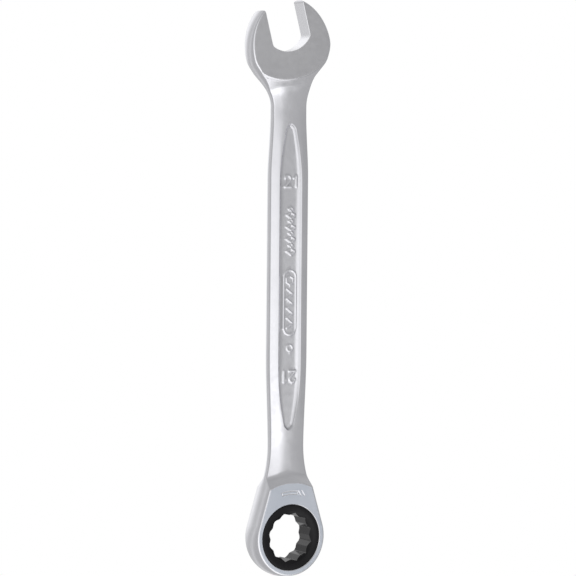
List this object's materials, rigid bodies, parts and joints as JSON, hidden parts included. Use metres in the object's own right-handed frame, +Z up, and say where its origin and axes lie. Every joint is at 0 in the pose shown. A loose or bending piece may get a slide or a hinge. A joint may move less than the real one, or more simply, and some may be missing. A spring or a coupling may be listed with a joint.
{
  "type": "ratcheting combination wrench",
  "caption": "Forged combination wrench with an open jaw set at an angle at one end and a one-way ratchet ring with a twelve-point socket at the other.",
  "frame": {"origin": "bottom centre of the whole wrench's box as it lies flat with its front face up", "axes": "+Y along the handle from the ratchet ring to the open jaw, +Z up through the thickness out of the front face, +X to the right seen from the front with the jaw at the top"},
  "size_m": [0.0446, 0.2798, 0.0126],
  "materials": {
    "satin_chrome": "satin chrome plate on forged steel",
    "black_oxide": "black oxide",
    "hard_steel": "ground, hardened",
    "spring_steel": "drawn wire"
  },
  "bodies": {
    "wrench": {"wrench_body": "satin_chrome", "pawl_spring": "spring_steel", "retaining_clip": "spring_steel"},
    "gear": {"ratchet_gear": "black_oxide"},
    "pawl": {"pawl": "hard_steel", "pawl_plunger": "hard_steel"}
  },
  "joints": [
    {"name": "gear_spin", "type": "hinge", "parent": "wrench", "child": "gear", "pos_m": [0.00073, -0.12022, 0.0063], "axis": [0, 0, 1], "continuous": true},
    {"name": "pawl_slide", "type": "slide", "parent": "wrench", "child": "pawl", "axis": [0, 1, 0], "range_m": [0, 0.0009], "stiffness_N_per_m": 600, "springref_m": -0.0015, "deforming": ["pawl_spring"]}
  ]
}
